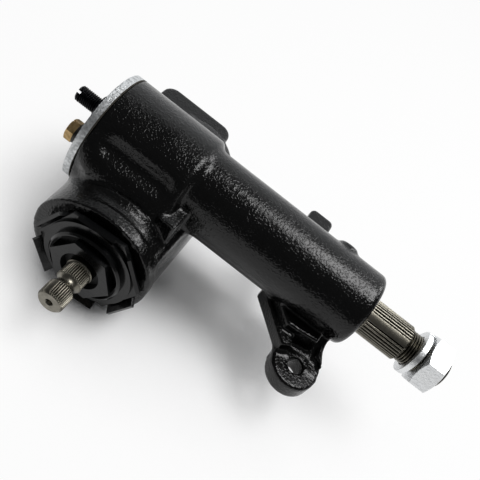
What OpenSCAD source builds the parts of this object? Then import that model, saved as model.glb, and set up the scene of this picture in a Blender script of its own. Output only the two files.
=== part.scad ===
// Manual recirculating-ball steering gearbox, in millimetres.
// The origin is the ear hole on the mounting plane. X runs along the sector shaft to the
// pitman end, the input shaft points to -Y, and Z rises from the mounting plane.

/* [Layout] */
// Height of the sector shaft axis above the mounting plane
sector_h = 44; // [42:0.5:54]
// Distance from the worm axis up to the sector shaft axis
centre_distance = 40; // [39:0.5:48]
// Distance along the sector shaft from the worm plane to the ear hole
ear_dx = 139; // [115:1:168]
// Sideways distance from the sector shaft axis to the ear hole
ear_dy = 41.6; // [38:0.1:50]
// How far the sector tube runs past the ear hole
tube_past_ear = 13.5; // [11:0.1:17]

/* [Housing] */
// Radius of the round head that holds the sector
head_r = 39.2; // [37:0.1:47]
// How far the head centre lies below the sector shaft axis
cover_drop = 10.8; // [9:0.1:13]
// How far the head runs past the worm plane towards the tube
head_back = 30; // [26:1:38]
// Outer radius of the sector tube
tube_r = 26.4; // [24:0.1:32]
// Outer radius of the worm barrel
barrel_r = 38; // [36:0.5:46]
// How far the worm barrel runs from the sector axis to its input face
barrel_front = 65; // [58:0.5:70]
// How far the worm barrel runs from the sector axis to its closed end
barrel_rear = 64; // [61:0.5:76]
// Thickness of the mounting ear
ear_t = 12.7; // [10:0.1:16]
// Outline radius of the mounting ear
ear_r = 16; // [13:0.5:20]
// Radius of the hole through the mounting ear
ear_hole_r = 5.3; // [4:0.1:6.5]
// Radius of the two tapped mounting holes
tapped_r = 5.05; // [4:0.05:6]
// Depth of the two tapped mounting holes
tapped_depth = 22; // [15:1:26]

/* [Side cover] */
// Thickness of the side cover plate
cover_t = 4.7; // [4:0.1:7]
// Thickness of the cover gasket
gasket_t = 0.8; // [0.4:0.1:1.5]
// Distance from the worm plane to the outer face of the side cover
cover_face = 49.4; // [46:0.1:60]
// Radius of the cover bolt circle
cover_bolt_circle = 33; // [32.6:0.1:34]
// Thread radius of the cover bolts
cover_bolt_r = 3.97; // [3:0.01:4.2]
// Width across the flats of the cover bolt heads
cover_bolt_af = 12.7; // [10:0.1:13]

/* [Sector shaft] */
// Radius of the long sector shaft journal
journal_r = 14.3; // [12:0.1:17.2]
// Outer radius of the pitman spline
spline_r = 12.7; // [11:0.1:14]
// Thread radius at the pitman end
thread_r = 11.11; // [9.5:0.01:12]
// Distance from the tube end to the end of the pitman spline
spline_out = 33; // [28:0.1:40]
// Distance from the tube end to the tip of the sector shaft
thread_out = 63.7; // [58:0.1:75]
// Running clearance on the sector shaft journals
journal_gap = 0.04; // [0.02:0.01:0.09]
// Width across the flats of the pitman nut
pitman_af = 33.3; // [28:0.1:38]
// Height of the pitman nut
pitman_nut_h = 14; // [11:0.5:20]
// Thickness of the pitman lock washer
pitman_washer_t = 4; // [3:0.1:6]

/* [Gearing] */
// Worm turns for one turn of the sector shaft
ratio = 16; // [14:0.5:17]
// Axial lead of the worm track
lead = 8.6; // [8:0.1:9.4]
// Teeth that a full sector gear would have
full_teeth = 16; // [14:1:18]
// Pressure angle of the sector and rack
pressure_angle = 25; // [20:1:28]
// Play between the sector teeth and the rack
backlash = 0.3; // [0.2:0.05:0.6]
// Width of the sector gear along its shaft
sector_w = 24; // [20:1:25]

/* [Ball screw] */
// Radius of the steel balls
ball_r = 2.778; // [2.3:0.001:3]
// Radius of the circle on which the track balls run
track_r = 10; // [9.4:0.1:10.6]
// Outer radius of the worm between its tracks
worm_r = 9.3; // [8.8:0.1:9.8]
// Swing of the sector shaft to each side, in degrees
sector_swing = 38; // [30:1:38]
// Half of the ball nut length
nut_half = 25; // [22:0.5:28]
// Outer radius of the ball nut
nut_r = 17; // [16:0.1:18]

/* [Worm bearings and input] */
// Distance from the sector axis to each worm bearing
bearing_y = 49; // [47.5:0.5:60]
// Radius of the circle on which the bearing balls run
bearing_r = 11.9; // [11.4:0.1:12.6]
// Outer radius of the bearing cups
cup_r = 18.5; // [17:0.1:20]
// Balls in each worm bearing
bearing_balls = 11; // [8:1:11]
// Thread radius of the worm bearing adjuster plug
plug_r = 25.4; // [24.5:0.1:30.5]
// Distance from the sector axis to the front rim of the plug
plug_face = 75; // [72:0.5:80]
// Width across the flats of the hexagon on the plug
plug_hex_af = 38.5; // [32:0.5:42]
// Distance from the sector axis to the tip of the input shaft
input_tip = 107.1; // [98:0.1:128]
// Outer radius of the input spline
input_r = 8.46; // [7.5:0.01:8.9]
// Least radius of the pinch-bolt groove in the input shaft
groove_r = 6.3; // [5:0.1:7]

/* [Hidden] */
$fn = 96;
part_gap = 0.02;
tube_end = ear_dx + tube_past_ear;
pitch_r = ratio * lead / (2 * PI);
tooth_module = 2 * pitch_r / full_teeth;
rack_pitch = PI * tooth_module;
sector_tip_r = pitch_r + tooth_module;
sector_root_r = pitch_r - 1.2 * tooth_module;
rack_line = centre_distance - pitch_r;
rack_tip = rack_line + 0.9 * tooth_module;
rack_root = rack_line - 1.25 * tooth_module;
base_r = pitch_r * cos(pressure_angle);
rack_half_w = 12.5;
track_ball_gap = 0.25;
nut_travel = pitch_r * sector_swing * PI / 180;
circuit_reach = 2 * lead;
track_half = nut_travel + circuit_reach + ball_r + track_ball_gap + 0.4;
track_end = track_half + 0.45;
bore_r = track_r + ball_r + 0.1;
chamber_r = plug_r + 0.2;
cover_in = cover_face - cover_t;
head_front = cover_in - gasket_t;
head_bore_r = cover_bolt_circle - 5;
mid_chamber_r = chamber_r + 5;
head_floor = sector_w / 2 + 4;
bolt_angles = [157, 22, 275];
bush_t = 2.2;
bush_r = journal_r + bush_t;
stub_r = 12;
stub_bush_r = stub_r + bush_t;
stub_end = head_front - 4.4;
stub_bush_in = sector_w / 2 + 4;
cover_boss_r = head_bore_r - cover_drop - 0.5;
seal_seat_r = journal_r + 5;
seal_t = 7;
lash_r = 5.556;
lash_head_r = 8;
lash_head_t = 3.5;
lash_lip = 3;
shim_t = 0.6;
lash_tip = cover_face + 22.7;
boss_h = 1.6;
trough_r = 7;
trough_angle = 145;
lash_nut_h = 5.4;
bearing_ball_gap = 0.05;
race_r = bearing_r - ball_r - bearing_ball_gap;
cup_in_r = bearing_r + 0.8;
cup_back = bearing_y + 5;
seal_in = plug_face - 7;
seal_out = plug_face - 1.5;
boss_out = plug_face + 3.6;
input_seal_r = 13.4;
locknut_t = 3;
locknut_af = 2 * plug_r + 11.2;
locknut_back = barrel_front + 1.2;
skirt_w = 0.4 * locknut_af;
skirt_t = 2.2;
spline_2_back = boss_out + 0.6;
spline_2_front = spline_2_back + 9.3;
spline_1_back = spline_2_front + 7.4;
block_top = 30;
lug_dx = ear_dx - 37.5;
lug_dy = 58.5;
lug_r = 9.3;
nut_at = tube_end + thread_out - pitman_nut_h - 3.6;
block_hole = [-26, barrel_rear + 6];
circuit_turns = 1.5;
circuit_length = circuit_turns * sqrt(4 * PI * PI * track_r * track_r + lead * lead);
circuit_balls = 1 + floor(circuit_length / (2 * ball_r + 0.2));
guide_r = 3.6;
guide_bore_r = ball_r + 0.07;
guide_start = 8.4;
guide_span = circuit_turns * lead;
guide_bend = sqrt(4 * track_r * track_r + guide_span * guide_span) / 2;
guide_low = guide_start + guide_bend + guide_r;

// Datum frames

// Gear centre: the sector axis where it passes over the worm
module at_gear() {
    translate([-ear_dx, ear_dy, sector_h])
        children();
}

// Local z runs along the sector shaft to the pitman end, and local x points down
module along_x(x = 0, drop = 0) {
    at_gear()
        translate([x, 0, -drop])
        rotate([0, 90, 0])
        children();
}

// Local z runs along the worm to the input, and local y points up
module at_worm(out = 0) {
    at_gear()
        translate([0, -out, -centre_distance])
        rotate([90, 0, 0])
        children();
}

// Shared shapes

// A round bar with a rounded far edge
module rounded_bar(r, h, edge) {
    rotate_extrude() {
        square([r, h - edge]);
        square([r - edge, h]);
        intersection() {
            translate([r - edge, h - edge])
                circle(edge);
            square([r, h]);
        }
    }
}

// A ring between two radii
module ring(r_out, r_in, h) {
    difference() {
        cylinder(r = r_out, h = h);
        translate([0, 0, -1])
            cylinder(r = r_in, h = h + 2);
    }
}

// A hexagonal bar of a given width across its flats
module hex_bar(af, h) {
    cylinder(r = af / sqrt(3), h = h, $fn = 6);
}

// A nut or bolt head with its far corners turned off
module turned_hex(af, h) {
    intersection() {
        hex_bar(af, h);
        translate([0, 0, h - 30])
            cylinder(r1 = af / 2 + 52, r2 = af / 2 - 0.5, h = 30.2);
    }
}

// A flat plate with round corners
module round_plate(x0, x1, y0, y1, r) {
    translate([x0, y0 + r])
        square([x1 - x0, y1 - y0 - 2 * r]);
    translate([x0 + r, y0])
        square([x1 - x0 - 2 * r, y1 - y0]);
    for (x = [x0 + r, x1 - r], y = [y0 + r, y1 - r])
        translate([x, y])
            circle(r);
}

// Places things on the three cover bolts, with local z running into the head
module on_cover_bolts(x) {
    for (a = bolt_angles)
        along_x(-x, cover_drop)
            translate([-cover_bolt_circle * sin(a), cover_bolt_circle * cos(a), 0])
            children();
}

// Balls on a circle around the worm axis
module ball_circle(r, n, ball) {
    for (i = [0 : n - 1])
        rotate([0, 0, i * 360 / n])
            translate([r, 0, 0])
            sphere(ball);
}

// A round groove for a ring of balls
module ball_groove(r, ball) {
    rotate_extrude()
        translate([r, 0])
        circle(ball);
}

// Housing

// Walls and bosses of the casting before it is bored
module casting() {
    // round head around the sector, closed towards the tube
    along_x(-head_front, cover_drop)
        rounded_bar(head_r, head_front + head_back, 11);
    // long tube around the sector shaft
    along_x()
        rounded_bar(tube_r, tube_end, 4.5);
    // cone that carries the head into the tube
    along_x(head_back - 14, 8)
        cylinder(r1 = head_r - 5.2, r2 = tube_r - 8, h = 26);
    // bosses that take the two far cover bolts
    along_x(-head_front, cover_drop)
        translate([-cover_bolt_circle * sin(bolt_angles[1]), cover_bolt_circle * cos(bolt_angles[1]), 0])
        rounded_bar(8, 30, 7.5);
    along_x(-head_front, cover_drop)
        translate([-cover_bolt_circle * sin(bolt_angles[2]), cover_bolt_circle * cos(bolt_angles[2]), 0])
        rounded_bar(8, 16, 7.5);
    // long rib behind the near cover bolt
    along_x(-head_front + 3, cover_drop)
        translate([-(head_r - 5) * sin(166), (head_r - 5) * cos(166), 0])
        rounded_bar(11, head_front + head_back - 4, 10);
    // worm barrel, closed at its far end
    at_worm(barrel_front)
        mirror([0, 0, 1])
        rounded_bar(barrel_r, barrel_front + barrel_rear, 9);
    // thick side of the barrel under the cover
    at_worm(barrel_front)
        mirror([0, 0, 1])
        translate([-9, 0, 0])
        rounded_bar(barrel_r - 3, barrel_front - 22, 9);
    // raised collar at the barrel mouth
    at_worm(barrel_front - 9)
        cylinder(r = barrel_r + 0.8, h = 9);
    feet();
}

// Ear, lug, foot and the webs that tie them to the tube
module feet() {
    at_gear()
        translate([0, 0, -sector_h]) {
            // mounting ear
            linear_extrude(ear_t) {
                translate([ear_dx, -ear_dy])
                    circle(ear_r);
                polygon([[ear_dx - ear_r, -ear_dy], [ear_dx + ear_r, -ear_dy],
                    [ear_dx + ear_r - 5, -tube_r], [ear_dx + ear_r - 7, 6], [ear_dx - 20, 6],
                    [ear_dx - ear_r, -tube_r]]);
            }
            // stepped gusset that runs up from the ear to the tube
            translate([0, 0, ear_t - 3])
                linear_extrude(12)
                polygon([[ear_dx - 44, -10], [ear_dx - 44, -14], [ear_dx - ear_r, -ear_dy],
                    [ear_dx - ear_r + 6, -ear_dy + 4], [ear_dx - 20, -10]]);
            translate([0, 0, ear_t])
                linear_extrude(15.3)
                polygon([[ear_dx - 32, -10], [ear_dx - 32, -ear_dy + 22.7], [ear_dx - 20.2, -ear_dy + 10],
                    [ear_dx - 10.4, -ear_dy + 11], [ear_dx - 10.4, -10]]);
            // sloping web between the two gussets
            translate([ear_dx - 12, 0, 0])
                rotate([90, 0, 90])
                linear_extrude(ear_r + 4)
                polygon([[-ear_dy + 10, 2], [-ear_dy + 10, ear_t], [-14, ear_t + 12], [-8, ear_t + 12], [-8, 2]]);
            // gusset on the pitman side
            linear_extrude(ear_t + 7)
                polygon([[ear_dx + ear_r - 5, -ear_dy + 10], [ear_dx + ear_r - 1, -ear_dy + 5],
                    [ear_dx + ear_r - 6, -tube_r + 4], [ear_dx + ear_r - 8, -8], [ear_dx - 2, -8]]);
            // spine under the tube
            translate([10, 3, 4])
                cube([tube_end - 20, 18, sector_h - tube_r]);
            // lug on the far side of the tube
            linear_extrude(block_top)
                round_plate(lug_dx - lug_r, lug_dx + lug_r, lug_dy - lug_r, lug_dy + lug_r, 4);
            translate([lug_dx - 7, 10, 4])
                cube([14, lug_dy - 10, block_top - 8]);
            // foot under the head
            linear_extrude(block_top)
                round_plate(0.4 - head_front, 14, 8, barrel_rear + 15, 6);
        }
    // low boss on the back of the tube
    at_gear()
        translate([ear_dx - 18, 0, 0])
        rotate([-48, 0, 0])
        rounded_bar(7, tube_r + 2.4, 4);
}

// Cast-iron case with its chambers, bearing seats and tapped holes
module housing() {
    color("#1b1c1e")
        difference() {
            casting();
            // trough between the head and the long rib
            along_x(0, cover_drop)
                translate([-(head_r + 4.2) * sin(trough_angle), (head_r + 4.2) * cos(trough_angle), -29]) {
                    cylinder(r = trough_r, h = 38);
                    sphere(trough_r);
                    translate([0, 0, 38])
                        sphere(trough_r);
                }
            // sector chamber and worm chamber
            along_x(-head_front - 5, cover_drop)
                cylinder(r = head_bore_r, h = head_front + head_floor + 5);
            at_worm(-bearing_y + 5)
                cylinder(r = chamber_r, h = bearing_y - 5 + barrel_front + 10);
            at_worm(-bearing_y + 9)
                cylinder(r = mid_chamber_r, h = 2 * bearing_y - 18);
            // seat of the rear bearing cup and the pocket behind it
            at_worm(-cup_back)
                cylinder(r = cup_r + part_gap, h = 20);
            at_worm(-cup_back - 4)
                cylinder(r = bearing_r, h = 20);
            // bush bore, grease space and seal seat of the tube
            along_x()
                cylinder(r = bush_r + part_gap, h = tube_end + 5);
            along_x(head_floor + 40)
                cylinder(r = bush_r + 1.2, h = tube_end - head_floor - 40 - seal_t - 1 - 36);
            along_x(tube_end - seal_t - 1)
                cylinder(r = seal_seat_r + part_gap, h = seal_t + 5);
            // tapped holes for the cover bolts
            on_cover_bolts(head_front + 1)
                cylinder(r = cover_bolt_r + part_gap, h = 14);
            // mounting holes
            at_gear()
                translate([0, 0, -sector_h]) {
                    translate([ear_dx, -ear_dy, -1])
                        cylinder(r = ear_hole_r, h = ear_t + 2);
                    translate([ear_dx, -ear_dy, ear_t])
                        cylinder(r = ear_hole_r + 5, h = 20);
                    translate([lug_dx, lug_dy, -1])
                        cylinder(r = tapped_r, h = tapped_depth + 1);
                    translate([block_hole[0], block_hole[1], -1])
                        cylinder(r = tapped_r, h = tapped_depth + 1);
                }
        }
}

// Worm, ball nut and worm bearings

// Pressed cup that takes the thrust of one row of balls
module bearing_cup() {
    difference() {
        translate([0, 0, -1.5])
            ring(cup_r, cup_in_r, 6.5);
        ball_groove(bearing_r, ball_r + bearing_ball_gap);
        translate([0, 0, -10])
            cylinder(r = bearing_r + ball_r + bearing_ball_gap, h = 10);
    }
}

// Pocketed ring that spaces the balls
module bearing_cage() {
    difference() {
        translate([0, 0, -3.5])
            ring(bearing_r + 0.6, bearing_r - 0.7, 7);
        for (i = [0 : bearing_balls - 1])
            rotate([0, 0, i * 360 / bearing_balls])
                rotate([0, 90, 0])
                cylinder(r = ball_r + 0.06, h = 20);
    }
}

// Cup pressed into the closed end of the barrel
module rear_cup() {
    color("#9a9c9e")
        at_worm(-bearing_y)
        mirror([0, 0, 1])
        bearing_cup();
}

// Ball spacer of the rear bearing
module rear_cage() {
    color("#b08d4a")
        at_worm(-bearing_y)
        bearing_cage();
}

// Balls of the rear bearing
module rear_balls() {
    color("#c9cbcd")
        at_worm(-bearing_y)
        ball_circle(bearing_r, bearing_balls, ball_r);
}

// Outline of the worm across its axis, with the single track cut into it
module worm_section() {
    groove = ball_r + track_ball_gap;
    reach = sqrt(groove * groove - (track_r - worm_r) * (track_r - worm_r));
    half = 360 * reach / lead;
    steps = 5;
    polygon(concat(
        [for (i = [-steps : steps])
            let (a = half * i / steps, s = lead * a / 360, r = track_r - sqrt(groove * groove - s * s))
            [r * cos(a), r * sin(a)]],
        [for (i = [1 : 3])
            let (a = half + (360 - 2 * half) * i / 4)
            [worm_r * cos(a), worm_r * sin(a)]]));
}

// Ground worm with its input shaft in one piece
module worm_shaft() {
    color("#8f8f86") {
        at_worm(-track_end)
            linear_extrude(2 * track_end, twist = -720 * track_end / lead, slices = ceil(23 * track_end / lead), $fn = 15)
            rotate([0, 0, -360 * track_end / lead])
            worm_section();
        at_worm()
            difference() {
                union() {
                    for (m = [0, 1])
                        mirror([0, 0, m]) {
                            translate([0, 0, track_half])
                                cylinder(r = worm_r + 0.3, h = bearing_y - 4 - track_half);
                            translate([0, 0, bearing_y - 5])
                                cylinder(r = bearing_r - 1.5, h = 5);
                            translate([0, 0, bearing_y])
                                cylinder(r = race_r, h = 6);
                        }
                    translate([0, 0, bearing_y + 6])
                        cylinder(r = input_r + 0.5, h = spline_2_back - bearing_y - 6);
                    translate([0, 0, spline_2_back])
                        cylinder(r = input_r, h = input_tip - spline_2_back - 1.2);
                    translate([0, 0, input_tip - 1.2])
                        cylinder(r1 = input_r, r2 = input_r - 1.2, h = 1.2);
                }
                for (z = [-bearing_y, bearing_y])
                    translate([0, 0, z])
                        ball_groove(bearing_r, ball_r + bearing_ball_gap);
                pinch_groove();
                translate([0, 0, input_tip - 6])
                    cylinder(r = 2.2, h = 7);
            }
    }
}

// Waist in the input shaft that the coupling's pinch bolt passes through
module pinch_groove() {
    waist = (spline_1_back - spline_2_front) / 2;
    depth = input_r - groove_r;
    sweep = (waist * waist + depth * depth) / (2 * depth);
    translate([0, 0, spline_2_front + waist])
        rotate_extrude()
        translate([groove_r + sweep, 0])
        circle(sweep);
}

// Balls that carry the load between the worm and the nut, in two circuits
module track_balls() {
    color("#c9cbcd")
        at_worm()
        for (c = [0, 1], i = [0 : circuit_balls - 1])
            let (turn = circuit_turns * 360 * i / (circuit_balls - 1), z = circuit_start(c))
            rotate([0, 0, turn + 360 * z / lead])
            translate([track_r, 0, z + lead * turn / 360])
            sphere(ball_r);
}

// Where a ball circuit starts along the worm: a whole number of leads keeps the guides alike
function circuit_start(c) = c == 0 ? -circuit_reach : circuit_reach - guide_span;

// Rack of the ball nut, seen along the sector shaft
module rack_outline() {
    half = rack_pitch / 4 - backlash / 4;
    rise = tan(pressure_angle);
    polygon([[-nut_half, 0], [nut_half, 0], [nut_half, rack_root], [-nut_half, rack_root]]);
    for (i = [-1.5 : 1 : 1.5])
        translate([i * rack_pitch, 0])
            polygon([[-half - rise * (rack_line - rack_root), rack_root - 0.01],
                [half + rise * (rack_line - rack_root), rack_root - 0.01],
                [half - rise * (rack_tip - rack_line), rack_tip],
                [-half + rise * (rack_tip - rack_line), rack_tip]]);
}

// Nut that the balls drive along the worm, with the rack on its upper side
module ball_nut() {
    color("#6f7174")
        difference() {
            union() {
                at_worm(-nut_half)
                    difference() {
                        cylinder(r = nut_r, h = 2 * nut_half);
                        translate([-30, rack_root, -1])
                            cube([60, 30, 2 * nut_half + 2]);
                    }
                at_worm()
                    translate([-rack_half_w, 0, 0])
                    rotate([0, 90, 0])
                    linear_extrude(2 * rack_half_w)
                    rack_outline();
            }
            at_worm(-nut_half - 1)
                cylinder(r = bore_r, h = 2 * nut_half + 2);
            guide_paths(guide_r + part_gap);
            at_worm()
                rotate([90, 0, 0])
                cylinder(r = 2 + part_gap, h = 30);
        }
}

// Two bent tubes that lead the balls from the end of each circuit back to its start
module guide_paths(r) {
    for (c = [0, 1])
        at_worm()
            translate([0, -guide_start, circuit_start(c) + guide_span / 2])
            rotate([0, atan2(guide_span, 2 * track_r), 0])
            {
                for (s = [-1, 1])
                    translate([s * guide_bend, 0, 0])
                        rotate([-90, 0, 0])
                        cylinder(r = r, h = guide_start);
                rotate([0, 0, 180])
                    rotate_extrude(angle = 180)
                    translate([guide_bend, 0])
                    circle(r);
            }
}

// Return tubes seated in the underside of the nut
module return_guides() {
    color("#a7a9ab")
        difference() {
            guide_paths(guide_r);
            guide_paths(guide_bore_r);
            at_worm(-nut_half)
                cylinder(r = bore_r, h = 2 * nut_half);
        }
}

// Strap that holds both return tubes down
module guide_clamp() {
    color("#8d8f92")
        at_worm()
        difference() {
            union() {
                translate([-4, -guide_low - 0.9, -15])
                    cube([8, 0.85, 30]);
                translate([-4, -guide_low - 0.1, -3.4])
                    cube([8, guide_low + 0.1 - nut_r - 0.05, 6.8]);
            }
            rotate([90, 0, 0])
                cylinder(r = 2 + part_gap, h = 30);
        }
}

// Screw that fixes the strap to the nut
module clamp_screw() {
    color("#55575a")
        at_worm()
        rotate([90, 0, 0])
        translate([0, 0, bore_r + 0.5])
        cylinder(r = 2, h = guide_low + 0.6 - bore_r);
}

// Balls of the front bearing
module front_balls() {
    color("#c9cbcd")
        at_worm(bearing_y)
        ball_circle(bearing_r, bearing_balls, ball_r);
}

// Ball spacer of the front bearing
module front_cage() {
    color("#b08d4a")
        at_worm(bearing_y)
        bearing_cage();
}

// Cup pressed into the adjuster plug
module front_cup() {
    color("#9a9c9e")
        at_worm(bearing_y)
        bearing_cup();
}

// Threaded plug that sets the worm bearing preload
module adjuster_plug() {
    color("#232426")
        difference() {
            union() {
                at_worm(bearing_y - 2)
                    cylinder(r = plug_r, h = plug_face - bearing_y + 1);
                at_worm(plug_face - 1)
                    cylinder(r1 = plug_r, r2 = plug_r - 1.2, h = 1.2);
                at_worm(plug_face - 6)
                    rotate([0, 0, -3.4])
                    hex_bar(plug_hex_af, boss_out - plug_face + 6);
            }
            at_worm(bearing_y - 3)
                cylinder(r = cup_r + part_gap, h = cup_back - bearing_y + 3);
            at_worm(bearing_y)
                cylinder(r = max(input_r + 0.5, race_r) + 0.5, h = 60);
            at_worm(seal_in)
                cylinder(r = input_seal_r + part_gap, h = 20);
            // annular groove around the hexagon
            at_worm(plug_face - 4)
                difference() {
                    cylinder(r = plug_r - 1.8, h = 10);
                    translate([0, 0, -1])
                        rotate([0, 0, -3.4])
                        hex_bar(plug_hex_af, 14);
                }
        }
}

// Lip seal around the input shaft
module input_seal() {
    color("#2b2b2d")
        at_worm(seal_in)
        ring(input_seal_r, input_r + 0.5 + journal_gap, seal_out - seal_in);
}

// Pressed-steel locknut with a raised collar and a skirt bent out of each flat
module adjuster_locknut() {
    color("#202123")
        difference() {
            at_worm(locknut_back) {
                rotate([0, 0, 6])
                    hex_bar(locknut_af, locknut_t);
                cylinder(r = locknut_af / 2 - 0.3, h = locknut_t + 2);
                for (i = [0 : 5])
                    rotate([0, 0, 36 + 60 * i])
                        translate([locknut_af / 2 - 0.2, 0, locknut_t - 1.4])
                        rotate([0, 34, 0])
                        translate([-0.5, -skirt_w / 2, 0])
                        cube([skirt_t, skirt_w, 7]);
            }
            at_worm(locknut_back - 20)
                cylinder(r = plug_r + part_gap, h = 60);
        }
}

// Sector shaft and its bearings

// Bush near the head
module sector_bush_inner() {
    color("#b5763a")
        along_x(head_floor + 2)
        ring(bush_r, journal_r + journal_gap, 36);
}

// Bush near the pitman end
module sector_bush_outer() {
    color("#b5763a")
        along_x(tube_end - seal_t - 2 - 34)
        ring(bush_r, journal_r + journal_gap, 34);
}

// Lip seal in the tube mouth
module sector_seal() {
    color("#2b2b2d")
        along_x(tube_end - seal_t - 1)
        ring(seal_seat_r, journal_r + journal_gap, seal_t);
}

// Half angle of a tooth flank at a given radius
function flank(r) =
    let (a = acos(min(1, base_r / r)))
    90 / full_teeth - backlash / 4 / pitch_r * 180 / PI
        + (tan(pressure_angle) - pressure_angle * PI / 180) * 180 / PI
        - (tan(a) - a * PI / 180) * 180 / PI;

// One involute tooth pointing along local x
module sector_tooth() {
    radii = [for (i = [0 : 8]) base_r + (sector_tip_r - base_r) * i / 8];
    polygon(concat(
        [[sector_root_r - 2, -(sector_root_r - 2) * sin(flank(base_r))]],
        [for (r = radii) [r * cos(flank(r)), -r * sin(flank(r))]],
        [for (i = [8 : -1 : 0]) [radii[i] * cos(flank(radii[i])), radii[i] * sin(flank(radii[i]))]],
        [[sector_root_r - 2, (sector_root_r - 2) * sin(flank(base_r))]]));
}

// Five-tooth sector, seen along the shaft
module sector_outline() {
    circle(journal_r);
    intersection() {
        circle(sector_root_r);
        polygon([[0, 0], [60 * cos(54), -60 * sin(54)], [60, 0], [60 * cos(54), 60 * sin(54)]]);
    }
    for (i = [-2 : 2])
        rotate([0, 0, i * 360 / full_teeth])
            sector_tooth();
}

// Forged shaft with the sector at one end and the pitman spline and thread at the other
module sector_shaft() {
    color("#86867c")
        difference() {
            union() {
                along_x(-stub_end)
                    cylinder(r = stub_r, h = stub_end);
                along_x(-sector_w / 2)
                    linear_extrude(sector_w)
                    sector_outline();
                along_x()
                    cylinder(r = journal_r, h = tube_end - 0.5);
                along_x(tube_end - 0.5)
                    cylinder(r1 = journal_r, r2 = spline_r, h = 3);
                along_x()
                    cylinder(r = spline_r, h = tube_end + spline_out - 1.2);
                along_x(tube_end + spline_out - 1.2)
                    cylinder(r1 = spline_r, r2 = thread_r, h = 1.2);
                along_x()
                    cylinder(r = thread_r, h = tube_end + thread_out - 1);
                along_x(tube_end + thread_out - 1)
                    cylinder(r1 = thread_r, r2 = thread_r - 1, h = 1);
            }
            // tee slot that the lash screw head slides into
            tee_slot(-stub_end - 1, lash_lip + 1.1, lash_r + 0.3);
            tee_slot(-stub_end + lash_lip, lash_head_t + shim_t + 0.4, lash_head_r + 0.2);
            along_x(tube_end + thread_out - 5)
                cylinder(r = 2.5, h = 6);
        }
}

// A slot with one round end, open to one side of the shaft
module tee_slot(x, depth, half) {
    along_x(x) {
        cylinder(r = half, h = depth);
        translate([-30, -half, 0])
            cube([30, 2 * half, depth]);
    }
}

// Side cover and lash adjuster

// Shim under the lash screw head
module lash_shim() {
    color("#9a9c9e")
        along_x(-stub_end + lash_lip + lash_head_t + 0.3)
        cylinder(r = lash_head_r, h = shim_t);
}

// Screw whose head draws the sector along its shaft to set the lash
module lash_screw() {
    color("#2a2b2b")
        difference() {
            union() {
                along_x(-lash_tip + 1)
                    cylinder(r = lash_r, h = lash_tip - stub_end + lash_lip - 0.9);
                along_x(-lash_tip)
                    cylinder(r1 = lash_r - 1, r2 = lash_r, h = 1);
                along_x(-stub_end + lash_lip + 0.1)
                    cylinder(r = lash_head_r, h = lash_head_t);
            }
            along_x(-lash_tip - 1)
                translate([-0.8, -10, 0])
                cube([1.6, 20, 4]);
        }
}

// Bush pressed into the cover for the short end of the sector shaft
module cover_bush() {
    color("#b5763a")
        along_x(-stub_end - 1)
        ring(stub_bush_r, stub_r + journal_gap, stub_end + 1 - stub_bush_in);
}

// Fibre gasket under the cover
module cover_gasket() {
    color("#7a6a4e")
        difference() {
            along_x(-cover_in, cover_drop)
                ring(head_r, head_bore_r, gasket_t);
            on_cover_bolts(cover_in + 1)
                cylinder(r = cover_bolt_r + 0.3, h = gasket_t + 2);
        }
}

// Cast cover with the bush boss inside and the adjuster boss outside
module side_cover() {
    color("#b9bcbd")
        difference() {
            union() {
                along_x(-cover_face, cover_drop)
                    cylinder(r = head_r, h = cover_t);
                along_x(-cover_in, cover_drop)
                    cylinder(r = head_bore_r - 0.3, h = 3);
                along_x(-cover_in)
                    cylinder(r = cover_boss_r, h = cover_in - stub_bush_in);
                along_x(-cover_face - boss_h)
                    cylinder(r1 = 10, r2 = 12, h = boss_h);
            }
            along_x(-stub_end - 1)
                cylinder(r = stub_bush_r + part_gap, h = 40);
            along_x(-cover_face - 10)
                cylinder(r = lash_r + part_gap, h = 30);
            on_cover_bolts(cover_face + 1)
                cylinder(r = cover_bolt_r + 0.3, h = 12);
            // flat on the rim
            along_x(-cover_face - 1, cover_drop)
                rotate([0, 0, -46])
                translate([head_r - 1.6, -30, 0])
                cube([10, 60, cover_t + 0.99]);
        }
}

// Spring washers under the cover bolts
module cover_washers() {
    color("#3b3b38")
        on_cover_bolts(cover_face + 2)
        difference() {
            ring(cover_bolt_af / 2 + 0.2, cover_bolt_r + 0.2, 2);
            translate([0, -0.6, -1])
                cube([20, 1.2, 4]);
        }
}

// Three slotted hexagon bolts
module cover_bolts() {
    color("#b48a3c")
        on_cover_bolts(cover_face + 2)
        difference() {
            union() {
                mirror([0, 0, 1])
                    turned_hex(cover_bolt_af, 5.3);
                cylinder(r = cover_bolt_r, h = 2 + cover_t + gasket_t + 11.5);
            }
            translate([-10, -0.8, -6.3])
                cube([20, 1.6, 2.8]);
        }
}

// Jam nut that fixes the lash screw
module lash_locknut() {
    color("#4a4b4c")
        difference() {
            along_x(-cover_face - boss_h)
                mirror([0, 0, 1])
                turned_hex(17.5, lash_nut_h);
            along_x(-cover_face - boss_h - 10)
                cylinder(r = lash_r + part_gap, h = 20);
        }
}

// Pitman arm fasteners

// Split spring washer
module pitman_washer() {
    color("#c3c6c8")
        along_x(nut_at - pitman_washer_t - 2.4)
        difference() {
            ring(thread_r + 5, thread_r + 0.3, pitman_washer_t);
            translate([0, -1, -1])
                cube([30, 2, pitman_washer_t + 2]);
        }
}

// Large hexagon nut that holds the pitman arm
module pitman_nut() {
    color("#d3d6d8")
        along_x(nut_at)
        rotate([0, 0, -15.5])
        difference() {
            intersection() {
                turned_hex(pitman_af, pitman_nut_h);
                translate([0, 0, -0.2])
                    cylinder(r1 = pitman_af / 2 - 0.5, r2 = pitman_af / 2 + 52, h = 30.2);
            }
            translate([0, 0, -1])
                cylinder(r = thread_r + part_gap, h = pitman_nut_h + 2);
        }
}

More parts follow.
